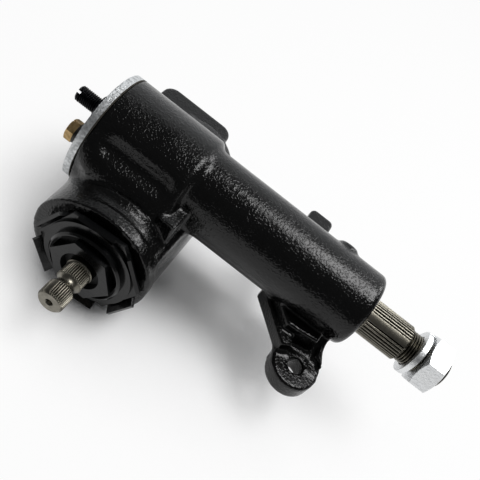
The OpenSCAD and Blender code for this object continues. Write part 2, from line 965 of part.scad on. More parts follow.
housing();
rear_cup();
rear_cage();
rear_balls();
worm_shaft();
track_balls();
ball_nut();
return_guides();
guide_clamp();
clamp_screw();
front_balls();
front_cage();
front_cup();
adjuster_plug();
input_seal();
adjuster_locknut();
sector_bush_inner();
sector_bush_outer();
sector_seal();
sector_shaft();
lash_shim();
lash_screw();
cover_bush();
cover_gasket();
side_cover();
cover_washers();
cover_bolts();
lash_locknut();
pitman_washer();
pitman_nut();
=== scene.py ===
# A manual recirculating-ball steering gearbox in a black-painted cast case.
# The pieces follow in the order in which they go together on the bench. Lengths in a section are
# in millimetres from the gear centre, where the sector shaft passes over the worm.

import math

import bmesh
import bpy
import numpy as np
from mathutils import Matrix, Vector


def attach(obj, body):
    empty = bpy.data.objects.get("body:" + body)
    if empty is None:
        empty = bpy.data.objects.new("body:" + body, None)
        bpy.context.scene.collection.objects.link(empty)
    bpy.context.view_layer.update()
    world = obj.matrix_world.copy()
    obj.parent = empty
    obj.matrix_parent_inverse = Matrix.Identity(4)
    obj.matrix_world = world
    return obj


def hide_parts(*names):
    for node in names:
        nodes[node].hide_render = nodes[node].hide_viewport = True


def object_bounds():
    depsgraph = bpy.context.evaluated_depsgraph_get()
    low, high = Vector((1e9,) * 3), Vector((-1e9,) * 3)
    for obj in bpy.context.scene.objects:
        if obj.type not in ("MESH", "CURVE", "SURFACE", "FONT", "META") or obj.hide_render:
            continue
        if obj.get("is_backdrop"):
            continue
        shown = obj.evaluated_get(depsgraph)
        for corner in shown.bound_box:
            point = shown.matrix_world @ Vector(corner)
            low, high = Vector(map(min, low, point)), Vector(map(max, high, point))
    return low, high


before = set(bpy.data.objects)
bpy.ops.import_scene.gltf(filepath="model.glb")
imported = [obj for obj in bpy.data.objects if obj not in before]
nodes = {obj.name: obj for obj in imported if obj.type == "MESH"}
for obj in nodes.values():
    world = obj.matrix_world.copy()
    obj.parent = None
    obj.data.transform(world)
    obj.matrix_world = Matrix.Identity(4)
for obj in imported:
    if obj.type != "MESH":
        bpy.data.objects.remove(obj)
cad_low, cad_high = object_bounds()


# Case
# Sand-cast iron: a round head over the sector, a long tube for its shaft and the worm barrel across
# them, with an ear, a lug and a foot for the chassis bolts. The walls run into each other through
# foundry fillets, so the casting is grown as one distance field and skinned.

MM = 0.001
GEAR_CENTRE = (-139.0, 41.6, 44.0)
HEAD_FACE, HEAD_END, HEAD_R, HEAD_DROP = -43.9, 20.5, 39.2, 10.8
TUBE_END, TUBE_R = 152.5, 26.4
BARREL_MOUTH, BARREL_END, BARREL_R, WORM_DROP = -65.0, 64.0, 38.0, 40.0
# the rough casting stands past the faces that are machined back
ROUGH_HEAD, ROUGH_BARREL = -60, -80
MOUNT_PLANE, EAR_TOP, BLOCK_TOP = -44.0, -31.3, -14
EAR_X, EAR_Y, EAR_R, EAR_HOLE_R = 139.0, -41.6, 16, 5.3
# angle of each cover bolt around the head, and the length of the boss behind it
BOLT_BOSSES = ((157, 12), (22, 30), (275, 16))
BOLT_CIRCLE, BOLT_HOLE_R = 33, 3.4

# the field's cells start off the whole millimetre, so that no flat wall lies on a cell's face
CELL = 1.0
case_low = np.array([-47.37, -69.37, -82.37], np.float32)
case_size = np.array([204.0, 152.0, 115.0])
steps = np.ceil(case_size / CELL).astype(int) + 1
x = (case_low[0] + CELL * np.arange(steps[0], dtype=np.float32))[:, None, None]
y = (case_low[1] + CELL * np.arange(steps[1], dtype=np.float32))[None, :, None]
z = (case_low[2] + CELL * np.arange(steps[2], dtype=np.float32))[None, None, :]
head_z = z + HEAD_DROP
worm_z = z + WORM_DROP


def round_bar(across, up, along, start, stop, radius, edge):
    """Distance to a round bar with rounded ends."""
    radial = np.sqrt(across * across + up * up) - (radius - edge)
    endwise = np.abs(along - (start + stop) / 2) - ((stop - start) / 2 - edge)
    outside = np.sqrt(np.maximum(radial, 0) ** 2 + np.maximum(endwise, 0) ** 2)
    return outside + np.minimum(np.maximum(radial, endwise), 0) - edge


def flat_plate(outline, across, up, along, start, stop, edge, corner=0.0):
    """Distance to a plate of a given outline, with its edges and the corners of a box rounded."""
    mid_x, mid_y = np.mean(outline, 0)
    outline = [(a - math.copysign(corner, a - mid_x), b - math.copysign(corner, b - mid_y))
               for a, b in outline]
    across, up = np.broadcast_arrays(across, up)
    nearest = np.full(across.shape, 1e9, np.float32)
    inside = np.zeros(across.shape, bool)
    for (ax, ay), (bx, by) in zip(outline, outline[1:] + outline[:1]):
        ex, ey = bx - ax, by - ay
        wx, wy = across - ax, up - ay
        share = np.clip((wx * ex + wy * ey) / (ex * ex + ey * ey), 0, 1)
        nearest = np.minimum(nearest, (wx - ex * share) ** 2 + (wy - ey * share) ** 2)
        crosses = (ay > up) != (by > up)
        inside ^= crosses & (across < ax + (up - ay) * ex / (ey if ey else 1e-9))
    rim = np.where(inside, -1, 1) * np.sqrt(nearest) + edge - corner
    endwise = np.abs(along - (start + stop) / 2) - ((stop - start) / 2 - edge)
    outside = np.sqrt(np.maximum(rim, 0) ** 2 + np.maximum(endwise, 0) ** 2)
    return outside + np.minimum(np.maximum(rim, endwise), 0) - edge


def melt(a, b, fillet):
    """Two walls run into each other through a fillet."""
    share = np.clip(0.5 + 0.5 * (b - a) / fillet, 0, 1)
    return b * (1 - share) + a * share - fillet * share * (1 - share)


def carve(a, b, edge):
    """b is cut out of a, and the rim of the cut is eased."""
    return -melt(-a, b, edge)


def on_head(angle, radius):
    """Y and Z of a point around the head's own axis."""
    turn = math.radians(angle)
    return radius * math.cos(turn), radius * math.sin(turn) - HEAD_DROP


def box_outline(x0, x1, y0, y1):
    return [(x0, y0), (x1, y0), (x1, y1), (x0, y1)]


# head and tube, with a plain step between them
case = round_bar(y, head_z, x, ROUGH_HEAD, HEAD_END, HEAD_R, edge=4)
case = melt(case, round_bar(y, z, x, -10, TUBE_END, TUBE_R, edge=4.5), fillet=5)
# boss behind each cover bolt, the near one running on as a long rib
rib_y, rib_z = on_head(166, 34.2)
case = melt(case, round_bar(y - rib_y, z - rib_z, x, -41, 21, radius=10.6, edge=9.8), fillet=7)
for angle, reach in BOLT_BOSSES:
    boss_y, boss_z = on_head(angle, BOLT_CIRCLE)
    boss = round_bar(y - boss_y, z - boss_z, x, ROUGH_HEAD, HEAD_FACE + reach, radius=8, edge=6)
    case = melt(case, boss, fillet=4)
# worm barrel, drawn in towards its closed end by its pattern's draft
DRAFT, DRAFT_START, ACROSS_DRAFT = 0.17, 18, 0.986
barrel = round_bar(x, worm_z, y, ROUGH_BARREL, BARREL_END, BARREL_R, edge=9)
drawn_r = BARREL_R - DRAFT * (y - DRAFT_START)
drawn_in = ACROSS_DRAFT * (np.sqrt(x * x + worm_z * worm_z) - drawn_r)
case = melt(case, np.maximum(barrel, drawn_in), fillet=9)
# its thick side under the cover, and the collar at its mouth
thick_side = round_bar(x + 9, worm_z, y, ROUGH_BARREL, -22, radius=35, edge=9)
case = melt(case, thick_side, fillet=5)
collar = round_bar(x, worm_z, y, ROUGH_BARREL, -56, radius=38.9, edge=1.5)
case = melt(case, collar, fillet=1.5)
# parting ridge along the flank of the barrel
ridge = round_bar(x - 30.5, worm_z - 20.5, y, -58, -4, radius=3.4, edge=2.5)
case = melt(case, ridge, fillet=3)
# mounting ear with its neck
ear = round_bar(x - EAR_X, y - EAR_Y, z, MOUNT_PLANE, EAR_TOP, EAR_R, edge=1.8)
case = melt(case, ear, fillet=2)
neck = [(123, -41.6), (155, -41.6), (150, -26.4), (148, 6), (119, 6), (123, -26.4)]
case = melt(case, flat_plate(neck, x, y, z, MOUNT_PLANE, EAR_TOP, edge=1.8), fillet=2)
# stepped gusset, sloping web and the low gusset on the pitman side
foot_of_gusset = [(95, -10), (95, -14), (123, -41.6), (129, -37.6), (119, -10)]
case = melt(case, flat_plate(foot_of_gusset, x, y, z, -34.3, -22.3, edge=1.5), fillet=4)
step_of_gusset = [(105.5, -8), (105.5, -18.9), (118.8, -31.6), (128.6, -30.6), (140.5, -28.6),
                  (141.5, -8)]
case = melt(case, flat_plate(step_of_gusset, x, y, z, -34, -15.4, edge=1.2), fillet=2)
web = [(-31.6, -42), (-31.6, -31.3), (-14, -19.3), (-8, -19.3), (-8, -42)]
case = melt(case, flat_plate(web, y, z, x, 126, 148, edge=1.0), fillet=2)
low_gusset = [(150, -31.6), (154, -36.6), (149, -22.4), (147, -8), (141, -8), (146, -30)]
case = melt(case, flat_plate(low_gusset, x, y, z, MOUNT_PLANE, -25.5, edge=2.0), fillet=2.5)
# spine and parting ridge under the tube
spine = flat_plate(box_outline(10, 142.5, 3, 21), x, y, z, -40, -22.4, edge=3)
case = melt(case, spine, fillet=5)
case = melt(case, round_bar(y + 16.2, z + 16.6, x, 36, 104, radius=4.2, edge=3), fillet=3)
# lug behind the tube with its arm, and the foot behind the head
lug = flat_plate(box_outline(92.2, 110.8, 49.2, 67.8), x, y, z, MOUNT_PLANE, BLOCK_TOP,
                 edge=1.6, corner=4)
case = melt(case, lug, fillet=2)
arm = flat_plate(box_outline(94.5, 108.5, 10, 58.5), x, y, z, -40, -18, edge=2)
case = melt(case, arm, fillet=4)
foot = flat_plate(box_outline(-43.5, 14, 8, 79), x, y, z, MOUNT_PLANE, BLOCK_TOP,
                  edge=2.2, corner=9)
case = melt(case, foot, fillet=3)
# low boss on the back of the tube
lean = math.radians(48)
boss_up = y * math.sin(lean) + z * math.cos(lean)
boss_over = y * math.cos(lean) - z * math.sin(lean)
case = melt(case, round_bar(x - 121, boss_over, boss_up, 0, 28.8, radius=7, edge=3), fillet=2.5)
# trough between the head and the long rib
trough_y, trough_z = on_head(145, 43.8)
trough = round_bar(y - trough_y, z - trough_z, x, -36.5, 16.5, radius=8.6, edge=8.5)
case = carve(case, trough, edge=4)
# the rib's crest falls away flat towards the barrel
crest = 7.9 + 0.82 * (y - rib_y) - 0.57 * (z - rib_z)
crest_ends = np.maximum(x - 26, ROUGH_HEAD - x)
case = carve(case, np.maximum(np.maximum(crest, -44 - y), crest_ends), edge=3.5)
# small flat pad in the corner between the barrel and the tube
pad = flat_plate(box_outline(17.5, 29.5, -43, -24), x, y, z, -24, 1.8, edge=0.8, corner=1)
case = melt(case, pad, fillet=2)
# machined faces of the head and the barrel
case = carve(case, x - HEAD_FACE, edge=1)
case = carve(case, y - BARREL_MOUTH, edge=1)
# sector chamber, then the plug's bore, the worm's chamber, the rear bearing's seat and its pocket
bores = round_bar(y, head_z, x, ROUGH_HEAD, 16, radius=28.2, edge=0.5)
for start, stop, radius in ((-90, 44, 25.8), (-40, 40, 30.8), (30, 54.2, 18.8), (30, 58.2, 12.2)):
    bores = np.minimum(bores, round_bar(x, worm_z, y, start, stop, radius, edge=0.5))
# bush bore and seal seat of the tube
for start, radius in ((0, 16.9), (144.3, 19.6)):
    bores = np.minimum(bores, round_bar(y, z, x, start, 175, radius, edge=0.5))
# tapped holes of the cover bolts, and those of the lug and the foot
for angle, reach in BOLT_BOSSES:
    bolt_y, bolt_z = on_head(angle, BOLT_CIRCLE)
    hole = round_bar(y - bolt_y, z - bolt_z, x, ROUGH_HEAD, -30.6, BOLT_HOLE_R, edge=0.3)
    bores = np.minimum(bores, hole)
for hole_x, hole_y in ((101.5, 58.5), (-26, 70)):
    hole = round_bar(x - hole_x, y - hole_y, z, -70, -22, radius=5.05, edge=0.3)
    bores = np.minimum(bores, hole)
case = carve(case, bores, edge=0.8)
# hole of the ear
case = carve(case, round_bar(x - EAR_X, y - EAR_Y, z, -60, -20, EAR_HOLE_R, edge=0.3), edge=1)


def skin(field):
    """Points and quads of the closed skin where a distance field is nought."""
    inside = field < 0
    corner = [slice(None, -1), slice(1, None)]
    count = sum(inside[corner[i], corner[j], corner[k]].astype(np.int8)
                for i in (0, 1) for j in (0, 1) for k in (0, 1))
    cells = np.argwhere((count > 0) & (count < 8))
    number = np.full(count.shape, -1, np.int64)
    number[tuple(cells.T)] = np.arange(len(cells))
    points = np.zeros((len(cells), 3))
    hits = np.zeros(len(cells))
    for axis in range(3):
        others = [a for a in range(3) if a != axis]
        for i in (0, 1):
            for j in (0, 1):
                near = cells.copy()
                near[:, others[0]] += i
                near[:, others[1]] += j
                far = near.copy()
                far[:, axis] += 1
                a, b = field[tuple(near.T)], field[tuple(far.T)]
                cuts = (a < 0) != (b < 0)
                share = a[cuts] / (a[cuts] - b[cuts])
                points[cuts] += near[cuts]
                points[cuts, axis] += share
                hits[cuts] += 1
    points /= hits[:, None]
    quads = []
    for axis in range(3):
        b, c = [a for a in range(3) if a != axis]
        low, high = [slice(1, -1)] * 3, [slice(1, -1)] * 3
        low[axis], high[axis] = slice(None, -1), slice(1, None)
        low_in, high_in = inside[tuple(low)], inside[tuple(high)]
        for out in (False, True):
            at = np.argwhere(low_in & ~high_in if out else ~low_in & high_in)
            at[:, b] += 1
            at[:, c] += 1
            ring = []
            for db, dc in ((-1, -1), (0, -1), (0, 0), (-1, 0)):
                cell = at.copy()
                cell[:, b] += db
                cell[:, c] += dc
                ring.append(number[tuple(cell.T)])
            ring = np.stack(ring, 1)
            quads.append(ring if out == (axis != 1) else ring[:, ::-1])
    return points, np.concatenate(quads)


def in_metres(points):
    """Millimetres from the gear centre to metres in the part's own frame."""
    return (np.asarray(points) + GEAR_CENTRE) * MM


def lay_piece(name, mesh, body):
    """A smooth piece that rides on a body."""
    piece = bpy.data.objects.new(name, mesh)
    bpy.context.scene.collection.objects.link(piece)
    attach(piece, body)
    mesh.shade_smooth()
    return piece


def new_piece(name, points, faces, body):
    """A piece made from points in millimetres and their faces."""
    mesh = bpy.data.meshes.new(name)
    mesh.from_pydata([tuple(p) for p in in_metres(points)], [], [tuple(f) for f in faces])
    mesh.validate()
    return lay_piece(name, mesh, body)


case_points, case_quads = skin(case)
case_piece = new_piece("case_casting", case_points * CELL + case_low, case_quads, "case")
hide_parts("housing")


def linear(colour):
    """An sRGB hex colour as linear red, green, blue and alpha."""
    parts = [int(colour[i:i + 2], 16) / 255 for i in (1, 3, 5)]
    return tuple(c / 12.92 if c <= 0.04045 else ((c + 0.055) / 1.055) ** 2.4
                 for c in parts) + (1.0,)


def add_node(tree, kind, inputs=(), **settings):
    """One shader node: its settings, then each input as a value or as the socket that feeds it."""
    node = tree.nodes.new(kind)
    for name, value in settings.items():
        setattr(node, name, value)
    for name, value in dict(inputs).items():
        if isinstance(value, bpy.types.NodeSocket):
            tree.links.new(value, node.inputs[name])
        else:
            node.inputs[name].default_value = value
    return node


def start_finish(name, **constants):
    """An empty material: its node tree, its shader and the place on the piece."""
    finish = bpy.data.materials.new(name)
    finish.use_nodes = True
    tree = finish.node_tree
    shader = tree.nodes["Principled BSDF"]
    for socket, value in constants.items():
        title = socket.replace("_", " ").title().replace("Ior", "IOR")
        shader.inputs[title].default_value = value
    place = add_node(tree, "ShaderNodeTexCoord").outputs["Object"]
    return finish, tree, shader, place


# Crinkled gloss enamel, sprayed thick over a sand-cast skin: small round beads that each catch the
# light, on a slower swell, so that a highlight breaks into speckles. The real beads are about a
# millimetre across, and are drawn a little coarser so that they show. In a patch, it lies thicker.
METRE = 1000
BEAD, SWELL, PATCH = 1.45, 4.0, 22
BEAD_RISE, SWELL_RISE = 0.12, 0.35
enamel, tree, shader, place = start_finish("crinkled_black_enamel", specular_ior_level=0.3, ior=1.5)
beads = add_node(tree, "ShaderNodeTexNoise", {"Vector": place, "Scale": METRE / BEAD, "Detail": 1.0,
                                              "Roughness": 0.5})
domes = add_node(tree, "ShaderNodeMapRange", {"Value": beads.outputs["Fac"], "From Min": 0.46,
                                              "From Max": 0.68}, interpolation_type="SMOOTHSTEP")
swell = add_node(tree, "ShaderNodeTexNoise", {"Vector": place, "Scale": METRE / SWELL,
                                              "Detail": 2.0})
patches = add_node(tree, "ShaderNodeTexNoise", {"Vector": place, "Scale": METRE / PATCH,
                                                "Detail": 3.0})
depth = add_node(tree, "ShaderNodeMapRange", {"Value": patches.outputs["Fac"], "From Min": 0.35,
                                              "From Max": 0.65, "To Min": 0.6, "To Max": 1.0})
crinkle = add_node(tree, "ShaderNodeBump", {"Height": domes.outputs["Result"],
                                            "Distance": BEAD_RISE * MM,
                                            "Strength": depth.outputs["Result"]})
skin_bump = add_node(tree, "ShaderNodeBump", {"Height": swell.outputs["Fac"],
                                              "Distance": SWELL_RISE * MM, "Strength": 0.5,
                                              "Normal": crinkle.outputs["Normal"]})
gloss = add_node(tree, "ShaderNodeMapRange", {"Value": patches.outputs["Fac"], "From Min": 0.3,
                                              "From Max": 0.7, "To Min": 0.13, "To Max": 0.24})
tone = add_node(tree, "ShaderNodeMix", {"Factor": swell.outputs["Fac"], "A": linear("#070707"),
                                        "B": linear("#0d0d0d")}, data_type="RGBA")
tree.links.new(tone.outputs[2], shader.inputs["Base Color"])
tree.links.new(gloss.outputs["Result"], shader.inputs["Roughness"])
tree.links.new(skin_bump.outputs["Normal"], shader.inputs["Normal"])
case_piece.data.materials.append(enamel)

# Bored cast iron: bare grey with a fine mottle from its graphite, drawn coarser so that it shows.
GRAPHITE = 0.6
iron, tree, shader, place = start_finish("bored_cast_iron", metallic=1.0)
mottle = add_node(tree, "ShaderNodeTexNoise", {"Vector": place, "Scale": METRE / GRAPHITE,
                                               "Detail": 2.0})
tone = add_node(tree, "ShaderNodeMix", {"Factor": mottle.outputs["Fac"], "A": linear("#4c4c4b"),
                                        "B": linear("#7b7a77")}, data_type="RGBA")
rough = add_node(tree, "ShaderNodeMapRange", {"Value": mottle.outputs["Fac"], "To Min": 0.35,
                                              "To Max": 0.6})
tree.links.new(tone.outputs[2], shader.inputs["Base Color"])
tree.links.new(rough.outputs["Result"], shader.inputs["Roughness"])
case_piece.data.materials.append(iron)
# faces within this distance of a bore's wall are bare iron
BARE_NEAR = 0.8
middle = case_points[case_quads].mean(1).round().astype(int)
bored = (np.abs(bores[tuple(middle.T)]) < BARE_NEAR).astype(np.int32)
case_piece.data.polygons.foreach_set("material_index", bored)


# Worm bearings
# Two angular-contact rows: a hardened cup in the blind end of the barrel and one in the plug, with
# a brass cage and eleven bearing-steel balls each. They stay as they are in the solid model.

def dress(finish, *names):
    """Gives solid-model nodes a finish."""
    for name in names:
        nodes[name].data.materials.clear()
        nodes[name].data.materials.append(finish)


def steel_finish(name, dark, light, grain, low, high):
    """A bare metal: two tones in a grain of a size in millimetres, and a gloss that follows it.
    The real grain is finer than any of these, and is drawn so coarse to show."""
    finish, tree, shader, place = start_finish(name, metallic=1.0)
    speck = add_node(tree, "ShaderNodeTexNoise", {"Vector": place, "Scale": METRE / grain,
                                                  "Detail": 3.0})
    tone = add_node(tree, "ShaderNodeMix", {"Factor": speck.outputs["Fac"], "A": linear(dark),
                                            "B": linear(light)}, data_type="RGBA")
    rough = add_node(tree, "ShaderNodeMapRange", {"Value": speck.outputs["Fac"], "To Min": low,
                                                  "To Max": high})
    tree.links.new(tone.outputs[2], shader.inputs["Base Color"])
    tree.links.new(rough.outputs["Result"], shader.inputs["Roughness"])
    return finish


# Ground steel is pale and nearly a mirror, pressed strip is duller, and stamped brass is a warm
# satin.
ground_steel = steel_finish("ground_bearing_steel", "#8e8f90", "#b4b5b6", 1.2, 0.1, 0.22)
pressed_steel = steel_finish("pressed_strip_steel", "#77797b", "#a3a5a7", 2.0, 0.25, 0.42)
cage_brass = steel_finish("stamped_cage_brass", "#8d6f33", "#b8944c", 1.5, 0.25, 0.4)
dress(ground_steel, "rear_cup", "front_cup", "rear_balls", "front_balls", "track_balls")
dress(cage_brass, "rear_cage", "front_cage")


# Worm, ball nut and input shaft
# The worm and the splined input are one piece of case-hardened steel. The serrated end takes the
# coupling, whose pinch bolt passes through the waist, and the worm itself stays as modelled.

INPUT_FACE = 70.8
BACK_TEETH, WAIST_START, WAIST_END, TIP = 79.2, 88.5, 95.9, 107.1
INPUT_R, COLLAR_R, WAIST_R, CENTRE_R = 8.46, 8.96, 6.3, 2.2
INPUT_TEETH, PER_TOOTH = 36, 10
TOOTH_DEPTH = 0.72
# edges under this many degrees are shaded smooth
SOFT_EDGE = 28


def kept_side(node, point, normal):
    """A node's mesh with everything beyond a plane taken off and the cut closed."""
    form = bmesh.new()
    form.from_mesh(nodes[node].data)
    bmesh.ops.remove_doubles(form, verts=form.verts[:], dist=1e-6)
    parts = form.verts[:] + form.edges[:] + form.faces[:]
    cut = bmesh.ops.bisect_plane(form, geom=parts, plane_co=Vector(in_metres(point)),
                                 plane_no=Vector(normal), clear_outer=True)
    rim = [e for e in cut["geom_cut"] if isinstance(e, bmesh.types.BMEdge)]
    bmesh.ops.edgeloop_fill(form, edges=rim)
    return form


def add_turned(form, aim, centre, stations, radii, root):
    """Adds a closed turned shape: a ring of radii for each station along an axis through centre.
    Between teeth or threads, faces below the root radius take the second finish, which on the worm
    and the sector shaft is painted shade in the roots."""
    count = radii.shape[1]
    angles = np.arange(count) * 2 * np.pi / count
    rings = []
    for station, ring in zip(stations, radii):
        turned = np.stack([ring * np.cos(angles), ring * np.sin(angles),
                           np.full(count, station)], 1)
        rings.append([form.verts.new(p) for p in in_metres(turned @ aim + centre)])
    for k, (a, b) in enumerate(zip(rings, rings[1:])):
        low = (radii[k] + np.roll(radii[k], -1) + radii[k + 1] + np.roll(radii[k + 1], -1)) / 4
        for i in range(count):
            j = (i + 1) % count
            face = form.faces.new((a[i], a[j], b[j], b[i]))
            if low[i] < root < min(radii[k].max(), radii[k + 1].max()):
                face.material_index = 1
    form.faces.new(rings[0][::-1])
    form.faces.new(rings[-1])


def form_piece(form, name, body):
    """A piece from a finished form, with its sharp edges kept."""
    bmesh.ops.recalc_face_normals(form, faces=form.faces[:])
    mesh = bpy.data.meshes.new(name)
    form.to_mesh(mesh)
    form.free()
    piece = lay_piece(name, mesh, body)
    mesh.set_sharp_from_angle(angle=math.radians(SOFT_EDGE))
    return piece


def serration(count, top, root):
    """How deep a serrated ring is cut at each point around it, from 0 on a crest to 1 in a root."""
    phase = np.tile(np.arange(PER_TOOTH) / PER_TOOTH, count)
    flank = (1 - top - root) / 2
    return np.clip((np.abs(phase - 0.5) * -2 + 1 - top) / (2 * flank), 0, 1)


# local z of the input runs towards its tip, x keeps its way and y points up
AIM_INPUT = np.array([[1, 0, 0], [0, 0, 1], [0, -1, 0]], float)
teeth = serration(INPUT_TEETH, top=0.36, root=0.2)
around = np.arange(INPUT_TEETH * PER_TOOTH) * 360 / (INPUT_TEETH * PER_TOOTH)
# the front teeth leave out a blank land, in degrees around the shaft
BLANK_AT, BLANK_HALF = 125, 17
blank_land = np.abs((around - BLANK_AT + 180) % 360 - 180) < BLANK_HALF
front_teeth = np.where(blank_land, 0, teeth)
waist_half, waist_mid = (WAIST_END - WAIST_START) / 2, (WAIST_START + WAIST_END) / 2
sweep = (waist_half ** 2 + (INPUT_R - WAIST_R) ** 2) / (2 * (INPUT_R - WAIST_R))
waist = [(s, WAIST_R + sweep - math.sqrt(sweep ** 2 - (s - waist_mid) ** 2))
         for s in np.linspace(WAIST_START, WAIST_END, 17)]
# each row is a station, its radius and the teeth that are cut there
profile = [(INPUT_FACE, COLLAR_R, None), (BACK_TEETH - 0.4, COLLAR_R, None),
           (BACK_TEETH, COLLAR_R - 0.4, None), (BACK_TEETH + 0.3, INPUT_R, None),
           (BACK_TEETH + 0.8, INPUT_R, teeth), (WAIST_START - 0.7, INPUT_R, teeth)]
profile += [(s, r, teeth if s < WAIST_START + 1 else front_teeth if s > WAIST_END - 1 else None)
            for s, r in waist]
profile += [(WAIST_END + 0.7, INPUT_R, front_teeth), (TIP - 1.3, INPUT_R, front_teeth),
            (TIP - 0.25, INPUT_R - 1.0, None), (TIP, INPUT_R - 1.3, None),
            (TIP, CENTRE_R + 0.5, None), (TIP - 0.5, CENTRE_R, None), (TIP - 6, CENTRE_R, None)]
stations = [s for s, r, t in profile]
radii = np.array([np.full(len(teeth), r) if t is None else
                  np.minimum(r, INPUT_R - TOOTH_DEPTH * t) for s, r, t in profile])
worm_form = kept_side("worm_shaft", (0, -INPUT_FACE, -WORM_DROP), (0, -1, 0))
add_turned(worm_form, AIM_INPUT, (0, 0, -WORM_DROP), stations, radii,
           root=INPUT_R - 0.55 * TOOTH_DEPTH)
worm_piece = form_piece(worm_form, "worm_and_input", "worm")
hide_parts("worm_shaft")

# Turned and hobbed steel under a film of oil: grey with an olive cast and slow stains, and a fine
# grain from the cutter, drawn coarser so that it shows.
STAIN, CUTTER_GRAIN, GRAIN_RISE = 3.0, 0.5, 0.04
turned_steel, tree, shader, place = start_finish("oiled_turned_steel", metallic=1.0)
stain = add_node(tree, "ShaderNodeTexNoise", {"Vector": place, "Scale": METRE / STAIN,
                                              "Detail": 4.0})
fine = add_node(tree, "ShaderNodeTexNoise", {"Vector": place, "Scale": METRE / CUTTER_GRAIN,
                                             "Detail": 2.0})
tone = add_node(tree, "ShaderNodeMix", {"Factor": stain.outputs["Fac"], "A": linear("#5c5950"),
                                        "B": linear("#938f84")}, data_type="RGBA")
rough = add_node(tree, "ShaderNodeMapRange", {"Value": fine.outputs["Fac"], "To Min": 0.24,
                                              "To Max": 0.46})
grain = add_node(tree, "ShaderNodeBump", {"Height": fine.outputs["Fac"],
                                          "Distance": GRAIN_RISE * MM, "Strength": 0.6})
tree.links.new(tone.outputs[2], shader.inputs["Base Color"])
tree.links.new(rough.outputs["Result"], shader.inputs["Roughness"])
tree.links.new(grain.outputs["Normal"], shader.inputs["Normal"])
worm_piece.data.materials.append(turned_steel)

# The roots between teeth and threads are painted dark olive and nearly dull, as painted shade in
# the grooves.
root_painted_shade = steel_finish("roots_painted_shade", "#0f0e0b", "#25231c", 1.2, 0.4, 0.65)
# the second finish paints shade into the roots between the input's teeth
worm_piece.data.materials.append(root_painted_shade)

# Hardened steel straight from the furnace: darker than ground steel, with a satin gloss.
nut_steel = steel_finish("case_hardened_nut_steel", "#5c5d5e", "#85868a", 1.6, 0.25, 0.45)
dress(nut_steel, "ball_nut", "clamp_screw")
dress(pressed_steel, "return_guides", "guide_clamp")


# Adjuster plug, seal and locknut
# The plug screws into the barrel's mouth and presses the front bearing. The pressed locknut, with a
# skirt bent out of each flat, holds it. Both are dipped in smooth gloss black; the seal is nitrile.

def ease_edges(piece, width, angle=35):
    """Breaks the sharp edges of a piece."""
    bevel = piece.modifiers.new("edge_break", "BEVEL")
    bevel.width = width * MM
    bevel.segments = 2
    bevel.limit_method = "ANGLE"
    bevel.angle_limit = math.radians(angle)


# Dipped gloss black: smoother than the case, with slow runs in the film and a faint peel in it.
RUN, PEEL = 9, 1.0
RUN_RISE, PEEL_RISE = 0.35, 0.05
gloss_black, tree, shader, place = start_finish("dipped_gloss_black", specular_ior_level=0.3,
                                                ior=1.5)
runs = add_node(tree, "ShaderNodeTexNoise", {"Vector": place, "Scale": METRE / RUN, "Detail": 3.0})
dust = add_node(tree, "ShaderNodeTexNoise", {"Vector": place, "Scale": METRE / PEEL, "Detail": 2.0})
rough = add_node(tree, "ShaderNodeMapRange", {"Value": runs.outputs["Fac"], "From Min": 0.3,
                                              "From Max": 0.7, "To Min": 0.12, "To Max": 0.26})
flow = add_node(tree, "ShaderNodeBump", {"Height": runs.outputs["Fac"], "Distance": RUN_RISE * MM,
                                         "Strength": 0.5})
peel = add_node(tree, "ShaderNodeBump", {"Height": dust.outputs["Fac"], "Distance": PEEL_RISE * MM,
                                         "Strength": 0.5, "Normal": flow.outputs["Normal"]})
tone = add_node(tree, "ShaderNodeMix", {"Factor": dust.outputs["Fac"], "A": linear("#0b0b0c"),
                                        "B": linear("#131415")}, data_type="RGBA")
tree.links.new(tone.outputs[2], shader.inputs["Base Color"])
tree.links.new(rough.outputs["Result"], shader.inputs["Roughness"])
tree.links.new(peel.outputs["Normal"], shader.inputs["Normal"])
dress(gloss_black, "adjuster_plug", "adjuster_locknut")
ease_edges(nodes["adjuster_plug"], 0.5)
ease_edges(nodes["adjuster_locknut"], 0.45)

# Moulded nitrile: near black and dull, with a greyish bloom.
BLOOM = 1.5
nitrile, tree, shader, place = start_finish("moulded_nitrile", specular_ior_level=0.4)
bloom = add_node(tree, "ShaderNodeTexNoise", {"Vector": place, "Scale": METRE / BLOOM,
                                              "Detail": 3.0})
tone = add_node(tree, "ShaderNodeMix", {"Factor": bloom.outputs["Fac"], "A": linear("#101011"),
                                        "B": linear("#1f1f20")}, data_type="RGBA")
rough = add_node(tree, "ShaderNodeMapRange", {"Value": bloom.outputs["Fac"], "To Min": 0.45,
                                              "To Max": 0.7})
tree.links.new(tone.outputs[2], shader.inputs["Base Color"])
tree.links.new(rough.outputs["Result"], shader.inputs["Roughness"])
dress(nitrile, "input_seal", "sector_seal")
ease_edges(nodes["input_seal"], 0.5)


# Sector shaft and its bushes
# A forged shaft with the toothed sector inside the head. It runs in bronze bushes and leaves the
# tube as a serrated end with four blank lands for the pitman arm, then a fine thread for its nut.

SHAFT_FACE = TUBE_END + 0.6
SPLINE_START, SPLINE_STOP, SHAFT_TIP = 155.0, 185.5, 216.2
SPLINE_R, THREAD_R, THREAD_PITCH = 12.7, 11.11, 1.814
SPLINE_TEETH = 36
AIM_SECTOR = np.array([[0, 0, -1], [0, 1, 0], [1, 0, 0]], float)
spline = serration(SPLINE_TEETH, top=0.34, root=0.2)
pitman_around = np.arange(SPLINE_TEETH * PER_TOOTH) * 360 / (SPLINE_TEETH * PER_TOOTH)
# angle around the shaft from straight down towards the back; one land faces the photograph's view
LAND_ANGLE, LAND_HALF = 219, 14
land = np.abs((pitman_around - LAND_ANGLE + 45) % 90 - 45) < LAND_HALF
spline = np.where(land, 0, spline)
